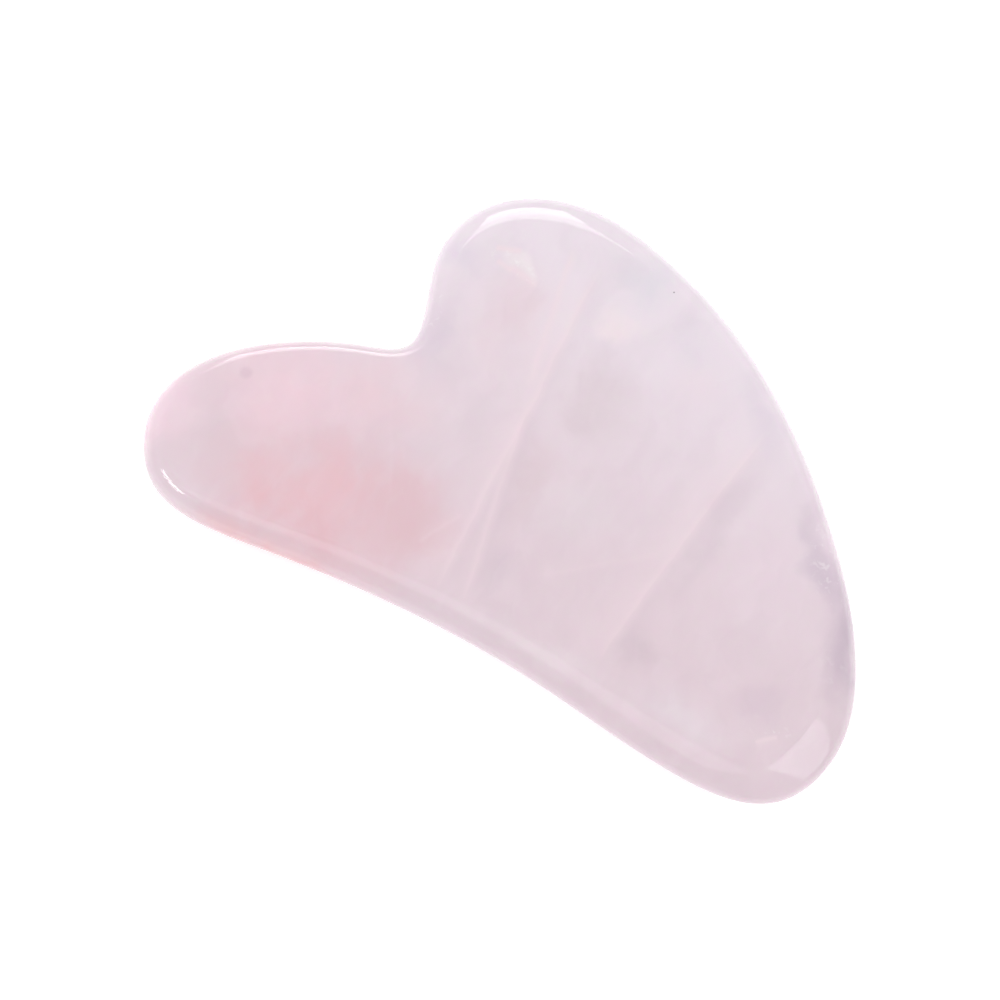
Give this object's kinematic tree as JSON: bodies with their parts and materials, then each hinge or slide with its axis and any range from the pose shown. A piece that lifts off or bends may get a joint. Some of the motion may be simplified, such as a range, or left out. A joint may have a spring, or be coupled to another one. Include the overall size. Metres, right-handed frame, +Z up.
{
  "type": "gua sha scraper",
  "caption": "Flat heart-shaped rose quartz scraping board with a rounded rim, a hollowed long side and a notch between a large and a small lobe.",
  "frame": {"origin": "middle of the footprint, on the flat face that the board lies on", "axes": "+X along the hollowed scraping side towards the tail, +Y from that side towards the lobes and the notch, +Z up through the thickness"},
  "size_m": [0.083, 0.053, 0.005],
  "materials": {
    "rose_quartz": "polished"
  },
  "bodies": {
    "root": {"scraper_stone": "rose_quartz"}
  },
  "joints": []
}
